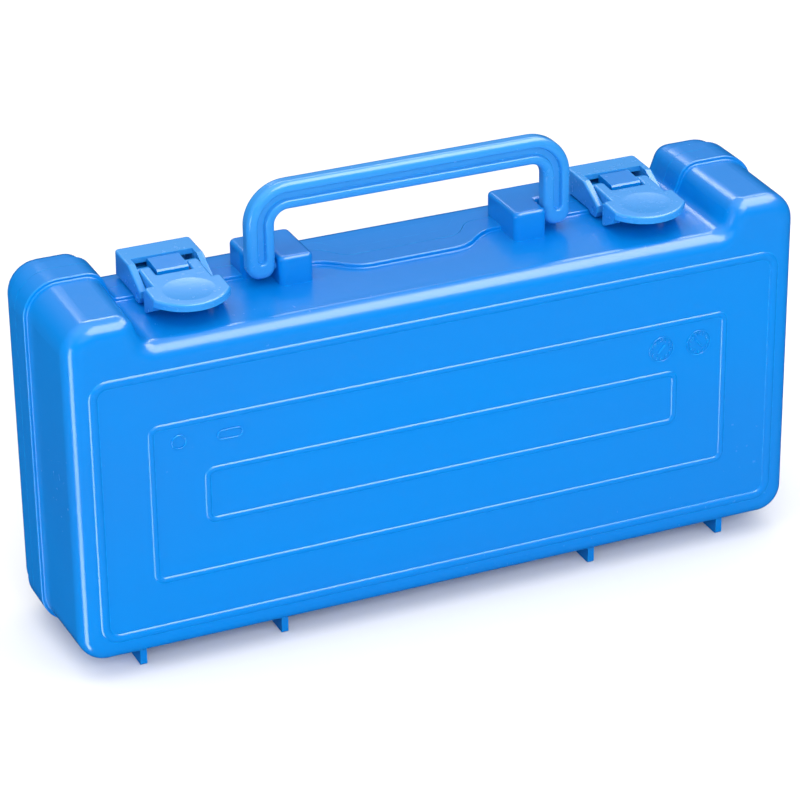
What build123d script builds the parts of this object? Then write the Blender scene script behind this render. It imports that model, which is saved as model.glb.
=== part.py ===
from build123d import *
import os

# Two-shell carrying case with a folding handle, two draw latches and a bottom hinge.
# Millimetres. X runs along the length, +Y to the rear, +Z up; the feet stand on Z = 0.

# Case outline at the parting plane
HALF_W = 188.3
Z_LOW = 9.0
Z_CHANNEL = 170.1
Z_BLOCK = 185.3
BLOCK_X = 153.2
BLOCK_FOOT_X = 147.6
R_LOW = 15.0
R_TOP = 16.0
R_BLOCK = 8.5
R_FOOT = 6.0
WALL = 2.6
DRAFT = 1.2

# Depths
Y_FACE = -44.0
Y_SEAM = 19.5
Y_REAR = 44.0
SEAM_GAP = 0.1
EDGE_R = 8.5
CAVITY_R = 6.0
BAND_FRONT = 7.0
BAND_REAR = 28.6
BAND_PROUD = 1.7
BAND_R = 0.8
Z_BAND = Z_CHANNEL + BAND_PROUD

# Forward step of the parting line between the handle mounts
LIP_Y = -6.6
STEP_Y = 6.5
STEP_BACK_Y = 15.2
LIP_HALF = (28.0, 43.0)
STEP_HALF = (29.0, 39.0)
STEP_BACK_HALF = (27.0, 37.0)
STEP_DROP = 1.0
LIP_R = 18.0
STEP_R = 10.0

# Face ribs: half length, lower and upper crest height, corner radius, bead radius, height
RIBS = [
    (175.2, 22.8, 154.3, 7.0, 2.9, 1.0),
    (148.7, 48.2, 127.6, 4.0, 1.8, 0.8),
    (121.8, 74.7, 101.0, 4.0, 1.8, 0.8),
]

# Handle and its mounts
LEG_X = 76.5
LEG_W = 14.0
HANDLE_T = 9.7
HANDLE_Y = -1.3
HANDLE_TOP = 219.9
HANDLE_R = 14.0
PIVOT_Z = 177.8
LEG_END_Z = 172.9
HANDLE_EDGE = 3.2
GROOVE_W = 4.6
GROOVE_D = 2.4
GROOVE_EDGE = 1.2
GROOVE_END_Z = 180.5
MOUNT_X = (52.1, 69.0, 82.6)
MOUNT_Y = (-9.2, 4.8, 24.2)
MOUNT_TOP = 184.0
MOUNT_EDGE = 2.2
HANDLE_PIN_R = 2.0
HANDLE_PIN_X = (57.0, 80.0)

# Latches
LATCH_X = 117.8
LEVER_Y, LEVER_Z = 11.3, 177.7
BAIL_Y, BAIL_Z = 1.2, 174.0
LUG_HALF = 7.8
LUG_Y = (2.9, 17.4)
LEVER_PIN_R = 1.5
LEVER_PIN_HALF = 14.0
TRUNNION_R = 1.6
EAR_HALF = 14.8
NOTCH_HALF = 8.8
NOTCH_Y = 0.8
EAR_END_Y = 9.8
SHOULDER_Y = -9.0
SHOULDER_HALF = 18.9
LEVER_CORNER_Y = -22.6
LEVER_TIP_Y = -33.6
LEVER_T = 3.6
LEVER_EDGE = 1.2
DISH = (25.0, 22.0, 0.4)
DISH_Y = -18.0
LEVER_SLOPE = 0.0636
LEVER_TOP_Z = 183.5
BAIL_HALF = 18.7
BAIL_INNER = 15.3
BAIL_REAR_Y = 32.2
BAIL_TOP_Z = 185.3
HOOK_Y = 28.3
HOOK_LOW_Z = 173.2
WINDOW_Y = 18.2
KEEPER_Y = (21.3, 27.3)
KEEPER_HALF = 12.0
KEEPER_TOP = 178.0

# Feet and hinge
HINGE_Z = 3.4
HINGE_R = 3.4
HINGE_PIN_R = 1.5
FOOT_T = 3.3
FOOT_X = (82.2, 154.4)
FOOT_FRONT_Y = -35.0
KNUCKLE_W = 7.0

FIT = 0.03


def at_y(y):
    """Plane facing the front at depth y: sketch x is X and sketch y is Z."""
    return Plane.XZ.offset(-y)


def round_corners(sketch, corners):
    for x, y, radius in corners:
        corner = sketch.vertices().sort_by_distance(Vector(x, y, 0))[0]
        fillet(corner, radius=radius)


def outline(plane, grow=0.0, block_radius=R_BLOCK):
    """Case outline on a plane, grown or shrunk all round."""
    low = [(HALF_W, Z_LOW, R_LOW), (HALF_W, Z_BLOCK, R_TOP)]
    step = [(BLOCK_X, Z_BLOCK, block_radius), (BLOCK_FOOT_X, Z_CHANNEL, R_FOOT)]
    right = low + step
    left = [(-x, z, r) for x, z, r in reversed(right)]
    points = right + left
    with BuildSketch(plane) as sketch:
        with BuildLine():
            Polyline(*[(x, z) for x, z, r in points], close=True)
        make_face()
        round_corners(sketch, [p for p in points if p[2]])
        if grow:
            offset(amount=grow, kind=Kind.INTERSECTION)
    return sketch.sketch


def half_case(y_seam, y_face, grow, radius, mode):
    """Drafted half of the case, rounded at its face and along the block tops."""
    profile = outline(at_y(y_seam), grow, block_radius=0)
    body = extrude(profile, amount=y_seam - y_face, taper=DRAFT, mode=Mode.PRIVATE)
    face = body.faces().sort_by_distance(Vector(0, y_face, Z_CHANNEL / 2))[0]
    block_tops = body.edges().filter_by(
        lambda e: abs(abs(e.center().X) - BLOCK_X) < 4 and e.center().Z > Z_BLOCK - 6 and e.length > 15
    )
    add(body.fillet(radius, face.edges() + block_tops), mode=mode)


def bar_outline(y_open, y_end, half_end, half_open, radius):
    """Plan of a step that narrows from y_open to y_end with soft corners."""
    return [
        (half_open + 8, y_open, 0),
        (half_open, y_open, radius),
        (half_end, y_end, radius),
        (-half_end, y_end, radius),
        (-half_open, y_open, radius),
        (-half_open - 8, y_open, 0),
        (-half_open - 8, y_open + 1.5, 0),
        (half_open + 8, y_open + 1.5, 0),
    ]


def plan(z, points):
    with BuildSketch(Plane.XY.offset(z)) as sketch:
        with BuildLine():
            Polyline(*[(x, y) for x, y, r in points], close=True)
        make_face()
        round_corners(sketch, [p for p in points if p[2]])
    return sketch.sketch


def face_ribs(y, inward):
    """Nested round beads on a face at depth y; inward is the sign of Y into the case."""
    for half, low, high, radius, bead, height in RIBS:
        depth = y + inward * (bead - height)
        with BuildSketch(at_y(depth)) as frame:
            with Locations((0, (low + high) / 2)):
                RectangleRounded(2 * half, high - low, radius)
        with BuildSketch(Plane.YZ) as section:
            with Locations((depth, high)):
                Circle(bead)
        sweep(section.sketch, path=frame.sketch.face().outer_wire())


def side_profile(x, points, half):
    """Extrude a Y-Z profile about x by half each way."""
    with BuildSketch(Plane.YZ.offset(x)) as profile:
        with BuildLine():
            Polyline(*points, close=True)
        make_face()
    extrude(profile.sketch, amount=half, both=True)


def rod(x0, x1, y, z, radius, mode=Mode.ADD):
    with BuildSketch(Plane.YZ.offset(x0)) as disc:
        with Locations((y, z)):
            Circle(radius)
    extrude(disc.sketch, amount=x1 - x0, mode=mode)


def tongue(z, grow):
    """Plan of the rear shell's forward step, grown by grow on its moving sides."""
    half_in, half_out = STEP_HALF
    open_y = Y_SEAM + SEAM_GAP - grow
    return plan(z, bar_outline(open_y, STEP_Y - grow, half_in + grow, half_out + grow, STEP_R))


def grown_from_body(point):
    """True for a point on the proud band, outside the case's own outline."""
    if abs(point.X) > HALF_W + 0.6 or point.Z < Z_LOW - 0.6:
        return True
    if abs(point.X) > BLOCK_X:
        corner = (HALF_W - R_TOP, Z_BLOCK - R_TOP)
        away = (abs(point.X) - corner[0], point.Z - corner[1])
        rounded = away[0] > 0 and away[1] > 0 and (away[0] ** 2 + away[1] ** 2) ** 0.5 > R_TOP + 0.6
        return rounded or point.Z > Z_BLOCK + 0.6
    return point.Z > Z_CHANNEL + 0.6


def handle_mount(side):
    """L-shaped block: inner arm holds the pivot, rear arm stops the handle upright."""
    inner, middle, outer = [side * x for x in MOUNT_X]
    front, notch, rear = MOUNT_Y
    corners = [
        (inner, front, 3.0),
        (middle, front, 3.0),
        (middle, notch, 1.0),
        (outer, notch, 4.0),
        (outer, rear, 3.5),
        (inner, rear, 3.0),
    ]
    extrude(plan(Z_CHANNEL - 2, corners), amount=MOUNT_TOP - Z_CHANNEL + 2)


def latch_lug(x):
    front, rear = LUG_Y
    points = [
        (front, Z_CHANNEL - 2),
        (front, 183.1),
        (front + 0.8, 183.9),
        (rear - 1, 184.6),
        (rear, 183.8),
        (rear, Z_CHANNEL - 1),
    ]
    side_profile(x, points, LUG_HALF)


def foot(x):
    """Thin skid under the case whose rear end is a hinge ear."""
    with BuildSketch(Plane.YZ.offset(x)) as profile:
        with Locations((Y_SEAM, HINGE_Z)):
            Circle(HINGE_R)
        with BuildLine():
            Polyline(
                (Y_SEAM, 0),
                (FOOT_FRONT_Y + 0.8, 0),
                (FOOT_FRONT_Y, 0.8),
                (FOOT_FRONT_Y, Z_LOW + 3),
                (Y_SEAM - 3, Z_LOW + 1),
                (Y_SEAM - 3, 2 * HINGE_R),
                (Y_SEAM, 2 * HINGE_R),
                close=True,
            )
        make_face()
    extrude(profile.sketch, amount=FOOT_T / 2, both=True)


# Front shell: deep half with lugs, handle mounts and feet
with BuildPart() as front_shell:
    front_end = Y_SEAM - SEAM_GAP
    half_case(front_end, Y_FACE, 0.0, EDGE_R, Mode.ADD)
    face_ribs(Y_FACE, 1)
    extrude(outline(at_y(front_end), BAND_PROUD), amount=front_end - BAND_FRONT)
    lip_plan = bar_outline(BAND_FRONT, LIP_Y, *LIP_HALF, LIP_R)
    extrude(plan(Z_CHANNEL - 2, lip_plan), amount=2 + BAND_PROUD)
    band_face = front_shell.faces().filter_by_position(Axis.Y, BAND_FRONT - 0.01, BAND_FRONT + 0.01)
    band_edges = band_face.edges().filter_by(lambda e: grown_from_body(e.center()))
    lip_edges = front_shell.edges().filter_by_position(Axis.Z, Z_BAND - 0.01, Z_BAND + 0.01)
    lip_edges = lip_edges.filter_by(lambda e: e.center().Y < BAND_FRONT - 0.1)
    fillet(band_edges + lip_edges, radius=BAND_R)
    for side in (-1, 1):
        handle_mount(side)
    mount_tops = front_shell.faces().filter_by_position(Axis.Z, MOUNT_TOP - 0.01, MOUNT_TOP + 0.01)
    fillet(mount_tops.edges(), radius=MOUNT_EDGE)
    for side in (-1, 1):
        latch_lug(side * LATCH_X)
        for x in FOOT_X:
            foot(side * x)
    half_case(front_end, Y_FACE + WALL, -WALL, CAVITY_R, Mode.SUBTRACT)
    extrude(tongue(Z_CHANNEL - 9, 0.2), amount=14, mode=Mode.SUBTRACT)
    with Locations((0, Y_SEAM + 5.0 - SEAM_GAP, Z_BAND + 0.5 - 5)):
        Box(2 * MOUNT_X[2] + 4, 10, 10, mode=Mode.SUBTRACT)
    for side in (-1, 1):
        rod(side * HANDLE_PIN_X[0], side * 70.0, HANDLE_Y, PIVOT_Z, HANDLE_PIN_R + 0.02, Mode.SUBTRACT)
        lug_x = side * LATCH_X
        rod(lug_x - 10, lug_x + 10, LEVER_Y, LEVER_Z, LEVER_PIN_R + 0.02, Mode.SUBTRACT)
        for x in FOOT_X:
            rod(side * x - 3, side * x + 3, Y_SEAM, HINGE_Z, HINGE_PIN_R + 0.02, Mode.SUBTRACT)

# Rear shell: shallow lid with latch keepers and hinge knuckles
with BuildPart() as rear_shell:
    rear_start = Y_SEAM + SEAM_GAP
    half_case(rear_start, Y_REAR, 0.0, EDGE_R, Mode.ADD)
    face_ribs(Y_REAR, -1)
    bevel_y = BAND_REAR - BAND_R
    extrude(outline(at_y(rear_start), BAND_PROUD), amount=rear_start - bevel_y)
    extrude(outline(at_y(bevel_y), BAND_PROUD), amount=-BAND_R, taper=45)
    extrude(tongue(Z_CHANNEL - WALL + 0.2, 0.0), amount=WALL - 0.2 + BAND_PROUD)
    back_plan = bar_outline(BAND_REAR, STEP_BACK_Y, *STEP_BACK_HALF, STEP_R)
    extrude(plan(Z_BAND - STEP_DROP, back_plan), amount=4, mode=Mode.SUBTRACT)
    for side in (-1, 1):
        keeper = [
            (KEEPER_Y[0] + 1, Z_CHANNEL - 1),
            (KEEPER_Y[0] + 1, KEEPER_TOP - 2),
            (KEEPER_Y[0] + 2, KEEPER_TOP),
            (KEEPER_Y[1] - 0.8, KEEPER_TOP),
            (KEEPER_Y[1], KEEPER_TOP - 0.8),
            (KEEPER_Y[1], Z_CHANNEL - 1),
        ]
        side_profile(side * LATCH_X, keeper, KEEPER_HALF)
    half_case(rear_start, Y_REAR - WALL, -WALL, CAVITY_R, Mode.SUBTRACT)
    for side in (-1, 1):
        for x, inward in ((FOOT_X[0], 1), (FOOT_X[1], -1)):
            centre = side * (x + inward * (FOOT_T / 2 + 0.5 + KNUCKLE_W / 2))
            with BuildSketch(Plane.YZ.offset(centre)) as knuckle:
                with Locations((Y_SEAM, HINGE_Z)):
                    Circle(HINGE_R - 0.4)
                with BuildLine():
                    Polyline(
                        (Y_SEAM, HINGE_Z - HINGE_R + 0.4),
                        (Y_SEAM + 4.5, HINGE_Z - 1),
                        (Y_SEAM + 7.0, Z_LOW + 0.5),
                        (Y_SEAM + 1.0, Z_LOW + 0.5),
                        (Y_SEAM + 1.0, HINGE_Z),
                        (Y_SEAM, HINGE_Z),
                        close=True,
                    )
                make_face()
            extrude(knuckle.sketch, amount=KNUCKLE_W / 2, both=True)
            rod(centre - 5, centre + 5, Y_SEAM, HINGE_Z, HINGE_PIN_R + FIT, Mode.SUBTRACT)

# Handle: one rounded bar bent into a U, grooved along its front
with BuildPart() as handle:
    centre_top = HANDLE_TOP - LEG_W / 2
    with BuildSketch(at_y(HANDLE_Y)) as bar:
        with BuildLine():
            Polyline(
                (-LEG_X - LEG_W / 2, LEG_END_Z),
                (-LEG_X - LEG_W / 2, HANDLE_TOP),
                (LEG_X + LEG_W / 2, HANDLE_TOP),
                (LEG_X + LEG_W / 2, LEG_END_Z),
                (LEG_X - LEG_W / 2, LEG_END_Z),
                (LEG_X - LEG_W / 2, HANDLE_TOP - LEG_W),
                (-LEG_X + LEG_W / 2, HANDLE_TOP - LEG_W),
                (-LEG_X + LEG_W / 2, LEG_END_Z),
                close=True,
            )
        make_face()
        for side in (-1, 1):
            for edge, top in ((LEG_W / 2, HANDLE_TOP), (-LEG_W / 2, HANDLE_TOP - LEG_W)):
                x = side * (LEG_X + edge)
                round_corners(bar, [(x, top, HANDLE_R + edge), (x, LEG_END_Z, 6.2)])
    extrude(bar.sketch, amount=HANDLE_T / 2, both=True)
    front_face = handle.faces().sort_by(Axis.Y)[0]
    rear_face = handle.faces().sort_by(Axis.Y)[-1]
    fillet(front_face.edges() + rear_face.edges(), radius=HANDLE_EDGE)
    with BuildSketch(at_y(HANDLE_Y - HANDLE_T / 2)) as groove:
        with BuildLine() as run:
            FilletPolyline(
                (-LEG_X, GROOVE_END_Z + GROOVE_W / 2),
                (-LEG_X, centre_top),
                (LEG_X, centre_top),
                (LEG_X, GROOVE_END_Z + GROOVE_W / 2),
                radius=HANDLE_R,
            )
        trace(line_width=GROOVE_W)
        with Locations((-LEG_X, GROOVE_END_Z + GROOVE_W / 2), (LEG_X, GROOVE_END_Z + GROOVE_W / 2)):
            Circle(GROOVE_W / 2)
    extrude(groove.sketch, amount=-GROOVE_D, taper=18, mode=Mode.SUBTRACT)
    grooved_face = handle.faces().filter_by(Axis.Y).sort_by(Axis.Y)[0]
    fillet(grooved_face.inner_wires()[0].edges(), radius=GROOVE_EDGE)
    for side in (-1, 1):
        rod(side * 60.0, side * (HANDLE_PIN_X[1] + 0.3), HANDLE_Y, PIVOT_Z, HANDLE_PIN_R + FIT, Mode.SUBTRACT)


# Latches: a lever on a lug, and a bail pinned to the lever that hooks behind the keeper
def tilted(x):
    """Plane of a lever's top face, origin at the rear edge of its ears."""
    normal = (0, -LEVER_SLOPE, 1)
    return Plane(origin=(x, EAR_END_Y, LEVER_TOP_Z), x_dir=(1, 0, 0), z_dir=normal)


def dish(x):
    """Barrel whose belly presses a shallow finger dish into a lever's top."""
    long, wide, deep = DISH
    bend = (wide ** 2 / 4 + deep ** 2) / (2 * deep)
    surface_z = LEVER_TOP_Z + LEVER_SLOPE * (DISH_Y - EAR_END_Y)
    rise = tilted(x).z_dir * (bend - deep)
    centre = Vector(x, DISH_Y, surface_z) + rise
    with BuildSketch(Plane(origin=centre, x_dir=(1, 0, 0), z_dir=(0, -1, 0))) as half:
        with BuildLine():
            ThreePointArc((-long / 2, deep - bend), (0, -bend), (long / 2, deep - bend))
            Polyline((long / 2, deep - bend), (long / 2, 0), (-long / 2, 0), (-long / 2, deep - bend))
        make_face()
    return revolve(half.sketch, axis=Axis(centre, (1, 0, 0)), mode=Mode.PRIVATE)


def make_lever(x):
    plane = tilted(x)
    shoulder = SHOULDER_Y - EAR_END_Y
    corner = LEVER_CORNER_Y - EAR_END_Y
    tip = LEVER_TIP_Y - EAR_END_Y
    notch = NOTCH_Y - EAR_END_Y
    with BuildSketch(plane) as plate:
        with BuildLine():
            Polyline(
                (-SHOULDER_HALF, corner),
                (-SHOULDER_HALF, shoulder),
                (-EAR_HALF, shoulder),
                (-EAR_HALF, 0),
                (-NOTCH_HALF, 0),
                (-NOTCH_HALF, notch),
                (NOTCH_HALF, notch),
                (NOTCH_HALF, 0),
                (EAR_HALF, 0),
                (EAR_HALF, shoulder),
                (SHOULDER_HALF, shoulder),
                (SHOULDER_HALF, corner),
            )
            ThreePointArc((SHOULDER_HALF, corner), (0, tip), (-SHOULDER_HALF, corner))
        make_face()
        for side in (-1, 1):
            round_corners(plate, [(side * SHOULDER_HALF, shoulder, 2.0)])
            round_corners(plate, [(side * SHOULDER_HALF, corner, 2.0)])
            round_corners(plate, [(side * EAR_HALF, 0, 1.6), (side * NOTCH_HALF, 0, 1.6)])
            round_corners(plate, [(side * NOTCH_HALF, notch, 0.8)])
    extrude(plate.sketch, amount=-LEVER_T)
    fillet(faces().filter_by(plane).sort_by(Axis.Z)[-1].edges(), radius=LEVER_EDGE)
    add(dish(x), mode=Mode.SUBTRACT)
    for side in (-1, 1):
        middle = side * (NOTCH_HALF + EAR_HALF) / 2
        half = (EAR_HALF - NOTCH_HALF) / 2
        with BuildSketch(Plane.YZ.offset(x + middle)) as ear:
            with Locations((LEVER_Y, LEVER_Z)):
                Circle(4.6)
            with Locations((BAIL_Y, BAIL_Z)):
                Circle(2.9)
            with BuildLine():
                Polyline(
                    (-6.0, LEVER_TOP_Z - 2.0),
                    (EAR_END_Y, LEVER_TOP_Z - 1.6),
                    (LEVER_Y + 1.5, LEVER_TOP_Z - 1.9),
                    (LEVER_Y + 4.6, LEVER_Z),
                    (LEVER_Y, LEVER_Z - 4.6),
                    (BAIL_Y + 0.4, BAIL_Z - 2.9),
                    (BAIL_Y - 2.9, BAIL_Z),
                    close=True,
                )
            make_face()
        extrude(ear.sketch, amount=half, both=True)
        skirt_half = (SHOULDER_HALF - EAR_HALF) / 2
        skirt = [
            (SHOULDER_Y, LEVER_TOP_Z - 2.4),
            (SHOULDER_Y, 170.3),
            (SHOULDER_Y - 2.0, 170.3),
            (-19.5, 174.6),
            (-22.4, 179.0),
            (-22.4, 180.2),
        ]
        side_profile(x + side * (EAR_HALF + skirt_half), skirt, skirt_half)
        brace = [
            (-7.0, LEVER_TOP_Z - 2.4),
            (SHOULDER_Y - 0.1, 176.0),
            (SHOULDER_Y - 2.0, 176.0),
            (-14.0, LEVER_TOP_Z - 3.0),
        ]
        side_profile(x + side * (EAR_HALF - 1.2), brace, 1.3)
        rod(x + side * 14.0, x + side * 18.3, BAIL_Y, BAIL_Z, TRUNNION_R)
        rod(x + side * 5.0, x + side * 20.0, LEVER_Y, LEVER_Z, LEVER_PIN_R + FIT, Mode.SUBTRACT)


def bail_top(y):
    return BAIL_TOP_Z - 0.03 * (BAIL_REAR_Y - 0.6 - y)


def make_bail(x):
    cross_bar = [
        (WINDOW_Y, BAIL_TOP_Z - 3.0),
        (WINDOW_Y, bail_top(WINDOW_Y)),
        (BAIL_REAR_Y - 0.6, BAIL_TOP_Z),
        (BAIL_REAR_Y, HOOK_LOW_Z),
        (HOOK_Y, HOOK_LOW_Z),
        (HOOK_Y, BAIL_TOP_Z - 3.0),
    ]
    side_profile(x, cross_bar, BAIL_HALF)
    leg = [
        (BAIL_REAR_Y - 0.6, BAIL_TOP_Z),
        (12.4, bail_top(12.4)),
        (-2.6, 177.2),
        (-2.9, 174.0),
        (-0.9, 170.9),
        (4.0, 170.9),
        (7.0, HOOK_LOW_Z - 0.6),
        (BAIL_REAR_Y, HOOK_LOW_Z),
    ]
    for side in (-1, 1):
        half = (BAIL_HALF - BAIL_INNER) / 2
        side_profile(x + side * (BAIL_INNER + half), leg, half)
    corners = edges().filter_by(Axis.Z, tolerance=5).sort_by(Axis.Y)[-2:]
    fillet(corners, radius=2.0)
    for side in (-1, 1):
        outer = faces().sort_by(Axis.X)[0 if side < 0 else -1]
        rim = outer.edges().filter_by(lambda e: e.center().Z > 176 and e.center().Y < 25)
        fillet(rim, radius=1.0)
        rod(x + side * 15.0, x + side * 19.0, BAIL_Y, BAIL_Z, TRUNNION_R + FIT, Mode.SUBTRACT)


with BuildPart() as left_latch_lever:
    make_lever(-LATCH_X)
with BuildPart() as right_latch_lever:
    make_lever(LATCH_X)
with BuildPart() as left_latch_bail:
    make_bail(-LATCH_X)
with BuildPart() as right_latch_bail:
    make_bail(LATCH_X)

# Pins: handle pivots, lever pivots, hinge rods
with BuildPart() as left_handle_pin:
    rod(-HANDLE_PIN_X[1], -HANDLE_PIN_X[0], HANDLE_Y, PIVOT_Z, HANDLE_PIN_R)
with BuildPart() as right_handle_pin:
    rod(HANDLE_PIN_X[0], HANDLE_PIN_X[1], HANDLE_Y, PIVOT_Z, HANDLE_PIN_R)
with BuildPart() as left_lever_pin:
    rod(-LATCH_X - LEVER_PIN_HALF, -LATCH_X + LEVER_PIN_HALF, LEVER_Y, LEVER_Z, LEVER_PIN_R)
with BuildPart() as right_lever_pin:
    rod(LATCH_X - LEVER_PIN_HALF, LATCH_X + LEVER_PIN_HALF, LEVER_Y, LEVER_Z, LEVER_PIN_R)
hinge_end = FOOT_T / 2 - 0.2
with BuildPart() as left_hinge_pin:
    rod(-FOOT_X[1] - hinge_end, -FOOT_X[0] + hinge_end, Y_SEAM, HINGE_Z, HINGE_PIN_R)
with BuildPart() as right_hinge_pin:
    rod(FOOT_X[0] - hinge_end, FOOT_X[1] + hinge_end, Y_SEAM, HINGE_Z, HINGE_PIN_R)

PARTS = {
    "front_shell": front_shell,
    "rear_shell": rear_shell,
    "handle": handle,
    "left_latch_lever": left_latch_lever,
    "right_latch_lever": right_latch_lever,
    "left_latch_bail": left_latch_bail,
    "right_latch_bail": right_latch_bail,
    "left_handle_pin": left_handle_pin,
    "right_handle_pin": right_handle_pin,
    "left_lever_pin": left_lever_pin,
    "right_lever_pin": right_lever_pin,
    "left_hinge_pin": left_hinge_pin,
    "right_hinge_pin": right_hinge_pin,
}
os.makedirs("parts", exist_ok=True)
for name, piece in PARTS.items():
    piece.part.label = name
    export_step(piece.part, f"parts/{name}.step")
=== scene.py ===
"""Looks of a moulded plastic carrying case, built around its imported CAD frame.

Metres, in the frame's own axes: X along the case, +Y to the rear, +Z up, feet on Z = 0.
"""

import math

import bpy
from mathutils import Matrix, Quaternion, Vector


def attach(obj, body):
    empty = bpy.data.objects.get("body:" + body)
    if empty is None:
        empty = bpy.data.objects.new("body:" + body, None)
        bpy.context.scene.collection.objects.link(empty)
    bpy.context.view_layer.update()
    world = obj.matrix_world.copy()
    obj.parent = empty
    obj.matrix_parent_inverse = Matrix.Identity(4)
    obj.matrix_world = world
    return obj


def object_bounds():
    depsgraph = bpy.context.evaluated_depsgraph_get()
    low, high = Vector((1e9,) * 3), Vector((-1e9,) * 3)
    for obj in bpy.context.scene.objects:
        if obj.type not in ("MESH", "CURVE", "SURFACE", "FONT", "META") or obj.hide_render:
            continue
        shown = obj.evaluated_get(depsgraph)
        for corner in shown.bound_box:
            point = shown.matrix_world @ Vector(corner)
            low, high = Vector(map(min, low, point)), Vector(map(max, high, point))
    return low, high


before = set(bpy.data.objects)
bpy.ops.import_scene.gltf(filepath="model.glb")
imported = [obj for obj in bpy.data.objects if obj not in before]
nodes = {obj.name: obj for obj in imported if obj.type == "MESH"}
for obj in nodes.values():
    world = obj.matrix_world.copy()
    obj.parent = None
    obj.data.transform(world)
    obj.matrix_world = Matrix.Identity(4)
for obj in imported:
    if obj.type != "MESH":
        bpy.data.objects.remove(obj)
CAD_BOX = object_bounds()
MM = 0.001

# Colours, scene-linear
BLUE = (0.0, 0.208, 0.66)
BLUE_DEEP = (0.0, 0.193, 0.63)
BLUE_WORN = (0.0, 0.36, 0.86)
FITTING_BLUE = (0.03, 0.27, 0.70)
FITTING_DEEP = (0.02, 0.25, 0.67)
STEEL = (0.55, 0.56, 0.58)
STEEL_DARK = (0.38, 0.39, 0.41)
FLOOR = (0.9, 0.9, 0.9)

# Wear and finish of the moulded plastic, lengths in metres
RUBBED_EDGE = 0.9 * MM
RIPPLE_DEPTH = 0.06 * MM
PEEL_DEPTH = 0.006 * MM
WIRE_LINE_DEPTH = 0.008 * MM
PLASTIC_IOR = 1.49


# ---------------------------------------------------------------- materials
class Nodes:
    """Small helper that adds and links shader nodes of one material."""

    def __init__(self, name):
        self.material = bpy.data.materials.new(name)
        self.material.use_nodes = True
        self.tree = self.material.node_tree
        self.shader = self.tree.nodes["Principled BSDF"]

    def add(self, kind, **values):
        node = self.tree.nodes.new(kind)
        for key, value in values.items():
            if hasattr(node, key):
                setattr(node, key, value)
            else:
                node.inputs[key.replace("_", " ")].default_value = value
        return node

    def link(self, output, socket):
        self.tree.links.new(output, socket)

    def noise(self, scale, detail=3.0, stretch=(1, 1, 1)):
        """Noise over the frame's own coordinates, in features per metre."""
        place = self.add("ShaderNodeTexCoord")
        mapping = self.add("ShaderNodeMapping")
        mapping.inputs["Scale"].default_value = stretch
        self.link(place.outputs["Object"], mapping.inputs["Vector"])
        texture = self.add("ShaderNodeTexNoise", Scale=scale, Detail=detail)
        self.link(mapping.outputs["Vector"], texture.inputs["Vector"])
        return texture.outputs["Fac"]

    def spread(self, value, low, high, out_low=0.0, out_high=1.0):
        node = self.add("ShaderNodeMapRange")
        for socket, number in zip(node.inputs[1:5], (low, high, out_low, out_high)):
            socket.default_value = number
        self.link(value, node.inputs[0])
        return node.outputs[0]

    def mix(self, share, first, second):
        node = self.add("ShaderNodeMix", data_type="RGBA")
        self.link(share, node.inputs["Factor"])
        for socket, colour in ((node.inputs[6], first), (node.inputs[7], second)):
            if isinstance(colour, tuple):
                socket.default_value = (*colour, 1)
            else:
                self.link(colour, socket)
        return node.outputs[2]

    def math(self, operation, first, second):
        node = self.add("ShaderNodeMath", operation=operation)
        for socket, value in zip(node.inputs, (first, second)):
            if isinstance(value, (int, float)):
                socket.default_value = value
            else:
                self.link(value, socket)
        return node.outputs[0]

    def edge(self, radius):
        """Close to 1 along outer edges, 0 on flat faces."""
        bevel = self.add("ShaderNodeBevel", samples=4, Radius=radius)
        geometry = self.add("ShaderNodeNewGeometry")
        dot = self.add("ShaderNodeVectorMath", operation="DOT_PRODUCT")
        self.link(bevel.outputs["Normal"], dot.inputs[0])
        self.link(geometry.outputs["Normal"], dot.inputs[1])
        return self.spread(dot.outputs["Value"], 0.995, 0.93)

    def bump(self, heights):
        """Chains (height, distance) pairs into the shader's normal."""
        normal = None
        for height, distance in heights:
            node = self.add("ShaderNodeBump", Distance=distance)
            self.link(height, node.inputs["Height"])
            if normal is not None:
                self.link(normal, node.inputs["Normal"])
            normal = node.outputs["Normal"]
        self.link(normal, self.shader.inputs["Normal"])


def moulded_plastic(name, colour, deep, roughness=0.19, grain=1.0):
    """Glossy polypropylene: faint flow clouds, moulding ripple, fine scuffs and paler rubbed edges."""
    m = Nodes(name)
    clouds = m.noise(9, 2.0, (0.6, 1.0, 1.4))
    ripple = m.noise(60, 1.5)
    peel = m.noise(900, 2.0)
    scuffs = m.noise(300, 4.0)
    body = m.mix(m.spread(clouds, 0.35, 0.65), colour, deep)
    rubbed = m.math("MULTIPLY", m.edge(RUBBED_EDGE), m.spread(scuffs, 0.42, 0.62, 0.15, 0.75))
    m.link(m.mix(rubbed, body, BLUE_WORN), m.shader.inputs["Base Color"])
    low, high = roughness - 0.03, roughness + 0.05
    dull = m.math("MULTIPLY", m.spread(scuffs, 0.55, 0.75), 0.06)
    m.link(m.math("ADD", m.spread(clouds, 0.3, 0.7, low, high), dull), m.shader.inputs["Roughness"])
    m.bump([(ripple, RIPPLE_DEPTH * grain), (peel, PEEL_DEPTH * grain)])
    m.shader.inputs["IOR"].default_value = PLASTIC_IOR
    m.shader.inputs["Specular IOR Level"].default_value = 0.5
    return m.material


def drawn_steel(name):
    """Bright steel wire, drawn along X."""
    m = Nodes(name)
    lines = m.noise(2600, 3.0, (0.03, 1.0, 1.0))
    m.link(m.mix(lines, STEEL, STEEL_DARK), m.shader.inputs["Base Color"])
    m.link(m.spread(lines, 0.3, 0.7, 0.24, 0.42), m.shader.inputs["Roughness"])
    m.bump([(lines, WIRE_LINE_DEPTH)])
    m.shader.inputs["Metallic"].default_value = 1.0
    return m.material


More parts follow.
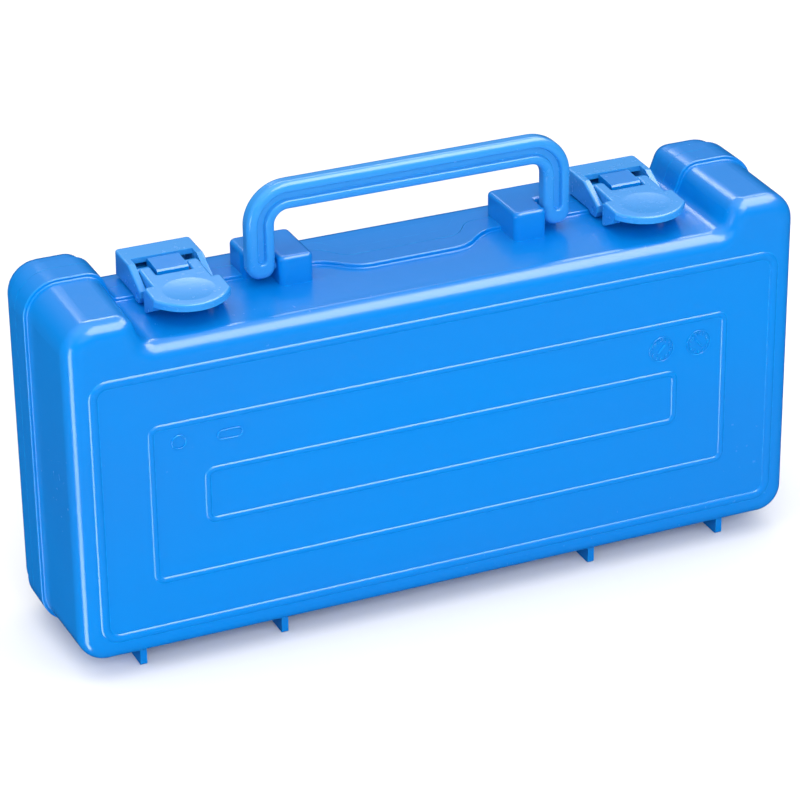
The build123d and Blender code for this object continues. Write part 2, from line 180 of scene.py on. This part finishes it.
def pale_floor(name):
    """Matt pale floor with a faint cloudiness."""
    m = Nodes(name)
    grain = m.noise(4, 2.0)
    paler = tuple(c * 1.02 for c in FLOOR)
    m.link(m.mix(grain, FLOOR, paler), m.shader.inputs["Base Color"])
    m.shader.inputs["Roughness"].default_value = 0.9
    m.shader.inputs["Specular IOR Level"].default_value = 0.0
    return m.material


SHELL = moulded_plastic("shell_plastic", BLUE, BLUE_DEEP)
FITTING = moulded_plastic("fitting_plastic", FITTING_BLUE, FITTING_DEEP, roughness=0.22, grain=0.7)
WIRE = drawn_steel("drawn_steel_wire")
SHELL_NODES = ("front_shell", "rear_shell")
WIRE_NODES = ("left_lever_pin", "right_lever_pin", "left_hinge_pin", "right_hinge_pin")


def dress_cad_nodes():
    """Give each carried-over node its material: shells, steel wire, or plastic fittings."""
    for name, node in nodes.items():
        node.data.materials.clear()
        if name in SHELL_NODES:
            node.data.materials.append(SHELL)
        elif name in WIRE_NODES:
            node.data.materials.append(WIRE)
        else:
            node.data.materials.append(FITTING)


# ---------------------------------------------------------------- moulded marks on the front face
RIB_HEIGHT = 1.0 * MM
MARK_RELIEF = 0.2 * MM
MARK_Y = CAD_BOX[0].y + RIB_HEIGHT - MARK_RELIEF

# Mould date dials: centres on the face, the pointer's turn, and their sizes
DIALS = {
    "left_date_dial": (114.2 * MM, 115.2 * MM, math.radians(50)),
    "right_date_dial": (134.5 * MM, 114.8 * MM, math.radians(-50)),
}
RIM_RADIUS = 6.4 * MM
NUMBER_RADIUS = 4.9 * MM
NUMBER_HEIGHT = 1.6 * MM
FINE_LINE = 0.5 * MM
MARK_LINE = 0.8 * MM
BAR_HALF = 2.8 * MM
BAR_WIDTH = 1.2 * MM

# Strokes of the dial's numerals, in a cell 1 wide and CELL_HEIGHT high
CELL_HEIGHT = 1.6
CELL_STEP = 1.2
NUMERALS = {
    "0": [(0.1, 0.3), (0.1, 1.3), (0.5, 1.6), (0.9, 1.3), (0.9, 0.3), (0.5, 0), (0.1, 0.3)],
    "1": [(0.2, 1.2), (0.5, 1.6), (0.5, 0)],
    "2": [(0.1, 1.3), (0.5, 1.6), (0.9, 1.3), (0.8, 0.9), (0.1, 0), (0.9, 0)],
    "3": [(0.1, 1.4), (0.5, 1.6), (0.9, 1.3), (0.5, 0.85), (0.9, 0.4), (0.5, 0), (0.1, 0.2)],
    "4": [(0.7, 0), (0.7, 1.6), (0.1, 0.5), (0.95, 0.5)],
    "5": [(0.85, 1.6), (0.2, 1.6), (0.15, 0.9), (0.6, 0.95), (0.9, 0.5), (0.5, 0), (0.1, 0.2)],
    "6": [(0.7, 1.6), (0.2, 0.8), (0.15, 0.3), (0.5, 0), (0.9, 0.3), (0.8, 0.8), (0.2, 0.75)],
    "7": [(0.1, 1.6), (0.9, 1.6), (0.4, 0)],
    "8": [(0.5, 0.85), (0.15, 1.2), (0.5, 1.6), (0.85, 1.2), (0.5, 0.85), (0.1, 0.4), (0.5, 0),
          (0.9, 0.4), (0.5, 0.85)],
    "9": [(0.85, 0.85), (0.2, 0.8), (0.1, 1.3), (0.5, 1.6), (0.85, 1.3), (0.8, 0.7), (0.3, 0)],
}


def on_face(x, z):
    """Point of the front face, where a raised line has its centre."""
    return Vector((x, MARK_Y, z))


def raised_lines(name, runs, width):
    """Rounded raised lines on the front face; each run is (points, closed)."""
    curve = bpy.data.curves.new(name, "CURVE")
    curve.dimensions = "3D"
    curve.bevel_depth = width / 2
    curve.bevel_resolution = 3
    curve.use_fill_caps = True
    for points, closed in runs:
        spline = curve.splines.new("POLY")
        spline.points.add(len(points) - 1)
        for point, place in zip(spline.points, points):
            point.co = (*place, 1)
        spline.use_cyclic_u = closed
    piece = bpy.data.objects.new(name, curve)
    bpy.context.scene.collection.objects.link(piece)
    piece.data.materials.append(SHELL)
    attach(piece, "front_shell")


def ring(x, z, radius, steps=48):
    turns = [2 * math.pi * k / steps for k in range(steps)]
    return [on_face(x + radius * math.cos(t), z + radius * math.sin(t)) for t in turns], True


def bar(x, z, turn, half):
    direction = Vector((math.cos(turn), 0, math.sin(turn)))
    centre = on_face(x, z)
    return [centre - direction * half, centre + direction * half], False


def numeral(text, x, z, height):
    """Strokes of a number centred on a point of the face."""
    cell = height / CELL_HEIGHT
    start = -(1 + CELL_STEP * (len(text) - 1)) / 2
    runs = []
    for place, digit in enumerate(text):
        left = start + CELL_STEP * place
        strokes = NUMERALS[digit]
        points = [on_face(x + (left + u) * cell, z + (v - CELL_HEIGHT / 2) * cell) for u, v in strokes]
        runs.append((points, False))
    return runs


def date_dial(name, x, z, bar_turn):
    """Round mould insert: fine rim, the months' numbers round it and a pointer bar."""
    raised_lines(name + "_rim", [ring(x, z, RIM_RADIUS)], FINE_LINE)
    numbers = []
    for month in range(1, 13):
        turn = math.pi / 2 - math.pi * month / 6
        across, up = NUMBER_RADIUS * math.cos(turn), NUMBER_RADIUS * math.sin(turn)
        numbers += numeral(str(month), x + across, z + up, NUMBER_HEIGHT)
    raised_lines(name + "_numbers", numbers, FINE_LINE)
    raised_lines(name + "_bar", [bar(x, z, bar_turn, BAR_HALF)], BAR_WIDTH)


def capsule(x, z, half, radius, steps=10):
    """Closed outline with straight sides of twice half and round ends."""
    points = []
    for side in (1, -1):
        for k in range(steps + 1):
            turn = math.pi * (k / steps - 0.5)
            across = half + radius * math.cos(turn)
            points.append(on_face(x + side * across, z + side * radius * math.sin(turn)))
    return points, True


def face_marks():
    for name, (x, z, turn) in DIALS.items():
        date_dial(name, x, z, turn)
    raised_lines("round_mark", [ring(-135.1 * MM, 118.6 * MM, 3.4 * MM)], MARK_LINE)
    raised_lines("capsule_mark", [capsule(-110.0 * MM, 117.8 * MM, 3.8 * MM, 2.3 * MM)], MARK_LINE)


# ---------------------------------------------------------------- floor, light and camera
FLOOR_GAP = 0.2 * MM
CASE_MIDDLE = (0, 0, 0.1)
CASE_TOP = (0, 0, 0.17)


def floor_disc(radius=14.0, steps=64):
    """Pale disc just under the feet, left out of glossy reflections."""
    mesh = bpy.data.meshes.new("floor")
    turns = [2 * math.pi * k / steps for k in range(steps)]
    points = [(radius * math.cos(t), radius * math.sin(t), -FLOOR_GAP) for t in turns]
    mesh.from_pydata(points, [], [tuple(range(steps))])
    floor = bpy.data.objects.new("floor", mesh)
    bpy.context.scene.collection.objects.link(floor)
    floor.data.materials.append(pale_floor("floor_matt"))
    floor.visible_glossy = False


def softbox(name, place, target, size, power, diffuse=True, glossy=True, colour=(1, 1, 1)):
    """Area light that the camera doesn't see; it can be kept to diffuse or to glossy light."""
    light = bpy.data.lights.new(name, "AREA")
    light.shape = "RECTANGLE"
    light.size, light.size_y = size
    light.energy = power
    light.color = colour
    lamp = bpy.data.objects.new(name, light)
    lamp.location = place
    lamp.visible_camera = False
    lamp.visible_diffuse = diffuse
    lamp.visible_glossy = glossy
    lamp.rotation_mode = "QUATERNION"
    lamp.rotation_quaternion = (Vector(target) - Vector(place)).to_track_quat("-Z", "Y")
    bpy.context.scene.collection.objects.link(lamp)


def sky(levels):
    """Studio surroundings, brighter overhead; levels pair the sine of a height with its brightness."""
    world = bpy.data.worlds.new("studio")
    bpy.context.scene.world = world
    world.use_nodes = True
    tree = world.node_tree
    place = tree.nodes.new("ShaderNodeTexCoord")
    split = tree.nodes.new("ShaderNodeSeparateXYZ")
    blend = tree.nodes.new("ShaderNodeValToRGB")
    tree.links.new(place.outputs["Generated"], split.inputs["Vector"])
    tree.links.new(split.outputs["Z"], blend.inputs["Fac"])
    stops = blend.color_ramp.elements
    while len(stops) < len(levels):
        stops.new(0.5)
    for stop, (height, level) in zip(stops, levels):
        stop.position = height
        stop.color = (level, level, level, 1)
    tree.links.new(blend.outputs["Color"], tree.nodes["Background"].inputs["Color"])


def camera():
    """Long lens from the front left, looking down on the case."""
    target = Vector((-0.0053, 0.0, 0.0931))
    distance = 1.6387
    azimuth = math.radians(-23.45)
    elevation = math.radians(26.34)
    roll = math.radians(-0.74)
    back = Vector((
        math.sin(azimuth) * math.cos(elevation),
        -math.cos(azimuth) * math.cos(elevation),
        math.sin(elevation),
    ))
    lens = bpy.data.cameras.new("camera")
    lens.sensor_width = 36.0
    lens.lens = 151.65
    lens.clip_start, lens.clip_end = 0.01, 100.0
    view = bpy.data.objects.new("camera", lens)
    view.location = target + back * distance
    view.rotation_mode = "QUATERNION"
    view.rotation_quaternion = (-back).to_track_quat("-Z", "Y") @ Quaternion((0, 0, 1), roll)
    bpy.context.scene.collection.objects.link(view)
    bpy.context.scene.camera = view


dress_cad_nodes()
face_marks()
floor_disc()
sky([(0.0, 0.02), (0.3, 0.18), (0.6, 0.65), (1.0, 2.0)])
softbox("fill_softbox", (-0.5, -2.2, 1.3), CASE_MIDDLE, (1.6, 1.2), 38, glossy=False)
softbox("right_softbox", (1.6, -1.6, 0.9), (0.15, 0, 0.1), (0.9, 0.9), 7, glossy=False)
softbox("left_softbox", (-2.3, -0.4, 0.9), (-0.1, 0, 0.1), (1.2, 1.2), 16, glossy=False)
softbox("top_shine", (0.6, -0.5, 1.5), CASE_TOP, (2.4, 1.0), 66, diffuse=False, colour=(1, 0.86, 0.95))
softbox("rim_shine", (0.72, 1.25, 1.5), CASE_TOP, (2.2, 0.15), 14, diffuse=False)
softbox("side_shine", (-1.2, -0.55, -0.5), (-0.18, 0, 0.1), (0.45, 1.8), 22, diffuse=False)
camera()
bpy.context.scene.view_settings.view_transform = "Standard"
